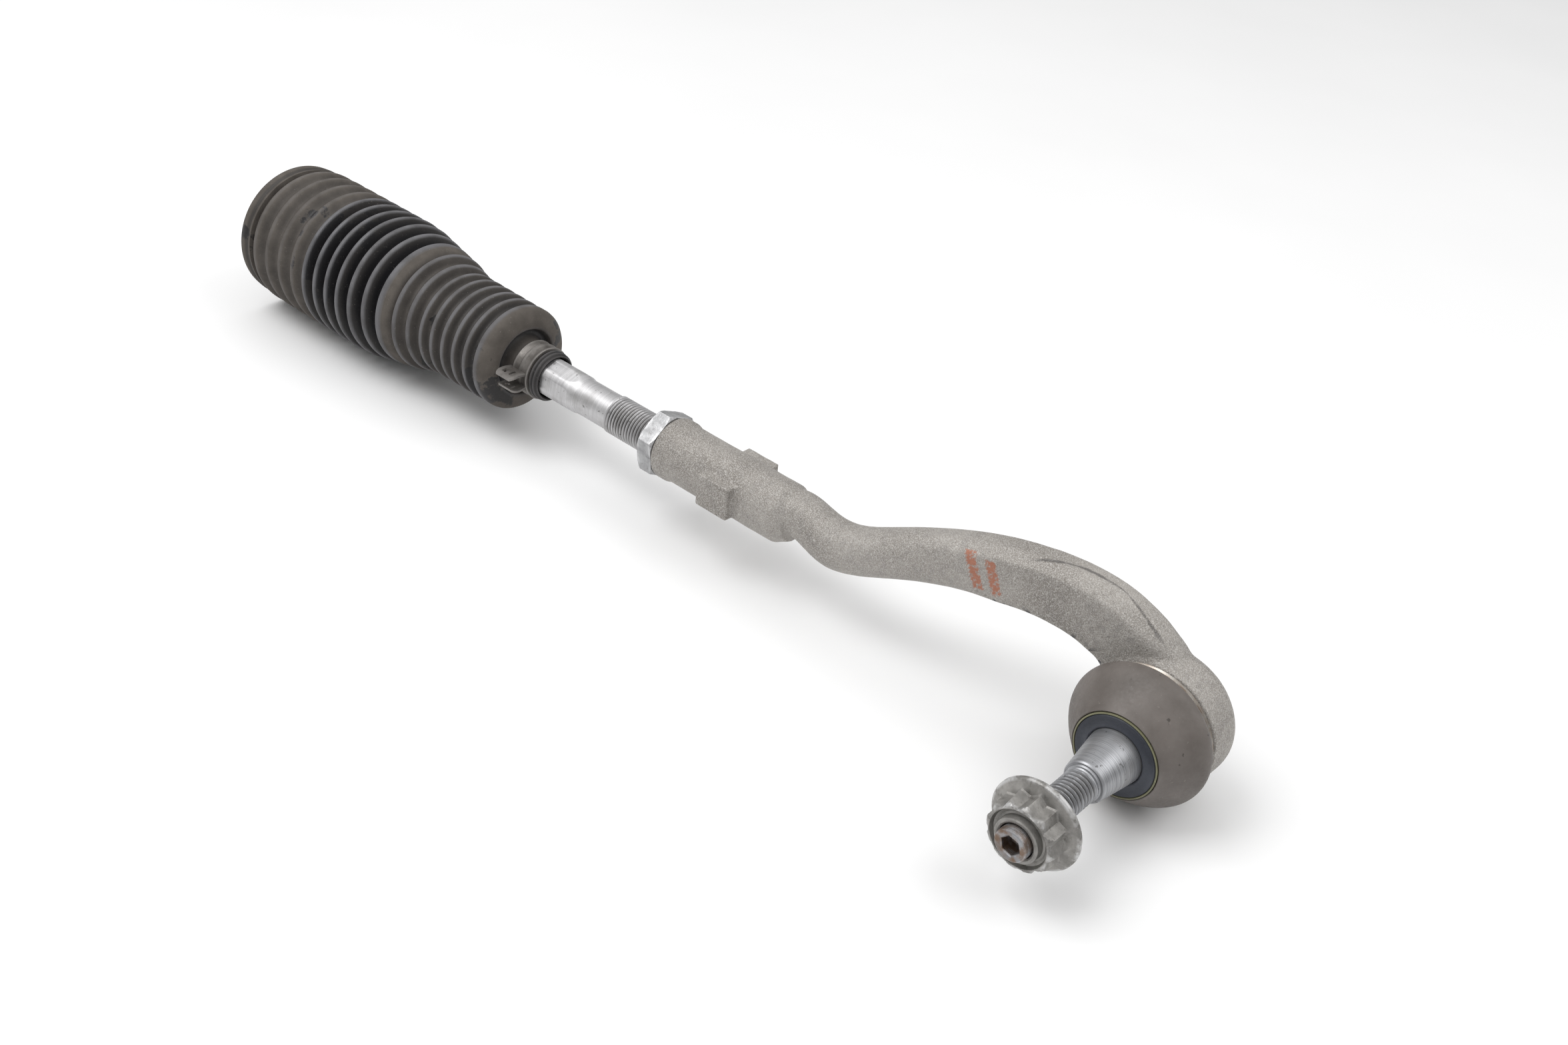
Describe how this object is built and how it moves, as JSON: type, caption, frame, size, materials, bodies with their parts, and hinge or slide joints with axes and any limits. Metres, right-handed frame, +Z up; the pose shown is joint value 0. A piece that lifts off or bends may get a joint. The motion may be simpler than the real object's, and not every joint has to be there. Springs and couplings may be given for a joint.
{
  "type": "tie rod end",
  "caption": "Steering tie rod end: ball joint on a swan-neck alloy arm, lock nut, inner tie rod and bellows rack boot.",
  "frame": {"origin": "centre of the assembly's footprint, on the surface it lies on", "axes": "+X along the inner tie rod from the rack boot towards the outer ball joint, +Z up, the outer stud points along -Y"},
  "size_m": [0.4802, 0.1045, 0.0652],
  "materials": {
    "sandblasted_aluminium": "sand-blasted",
    "bright_steel": "satin turned",
    "zinc_plate": "matte zinc plated",
    "boot_rubber": "dusty matt",
    "dust_boot_rubber": "smooth matt",
    "seal_rubber": "smooth matt",
    "spring_steel": "dull bright",
    "seat_plastic": "natural",
    "edge_plastic": "pale yellow-green"
  },
  "bodies": {
    "arm": {"forged_arm": "sandblasted_aluminium", "end_cap": "zinc_plate", "boot_retaining_ring": "spring_steel", "dust_boot": "dust_boot_rubber"},
    "seat": {"ball_seat": "seat_plastic"},
    "stud_tilter": {"stud_seal_ring": "seal_rubber", "seal_edge_ring": "edge_plastic"},
    "stud": {"ball_stud": "bright_steel"},
    "nut": {"flange_nut": "zinc_plate"},
    "jam_nut": {"lock_nut": "zinc_plate"},
    "boot": {"rack_boot": "boot_rubber", "boot_clamp": "spring_steel"},
    "rod": {"inner_tie_rod": "bright_steel"},
    "rack_bearing": {"rack_joint_bearing": "seat_plastic"},
    "rack_end": {"rack_joint_housing": "bright_steel"}
  },
  "joints": [
    {"name": "stud_swing_direction", "type": "hinge", "parent": "arm", "child": "seat", "pos_m": [0.2145, 0.03025, 0.0256], "axis": [0, -1, 0], "continuous": true},
    {"name": "stud_tilt", "type": "hinge", "parent": "seat", "child": "stud_tilter", "pos_m": [0.2145, 0.03025, 0.0256], "axis": [0, 0, 1], "range_deg": [-25, 25], "deforming": ["dust_boot"]},
    {"name": "stud_spin", "type": "hinge", "parent": "stud_tilter", "child": "stud", "pos_m": [0.2145, 0.03025, 0.0256], "axis": [0, -1, 0], "continuous": true},
    {"name": "flange_nut_turn", "type": "hinge", "parent": "stud", "child": "nut", "pos_m": [0.2145, 0.03025, 0.0256], "axis": [0, -1, 0], "continuous": true},
    {"name": "lock_nut_turn", "type": "hinge", "parent": "arm", "child": "jam_nut", "pos_m": [0, 0.02055, 0.0317], "axis": [1, 0, 0], "continuous": true},
    {"name": "toe_travel", "type": "slide", "parent": "arm", "child": "boot", "axis": [1, 0, 0], "range_m": [-0.006, 0.006]},
    {"name": "toe_turn", "type": "hinge", "parent": "boot", "child": "rod", "pos_m": [0, 0.02055, 0.0317], "axis": [1, 0, 0], "range_deg": [-1440, 1440]},
    {"name": "rack_swing_direction", "type": "hinge", "parent": "boot", "child": "rack_bearing", "pos_m": [-0.192, 0.02055, 0.0317], "axis": [1, 0, 0], "continuous": true},
    {"name": "rack_tilt", "type": "hinge", "parent": "rack_bearing", "child": "rack_end", "pos_m": [-0.192, 0.02055, 0.0317], "axis": [0, 0, 1], "range_deg": [-25, 25], "deforming": ["rack_boot"]}
  ],
  "couplings": [
    {"joint": "toe_turn", "follows": "toe_travel", "rad_per_m": 4188.8}
  ]
}
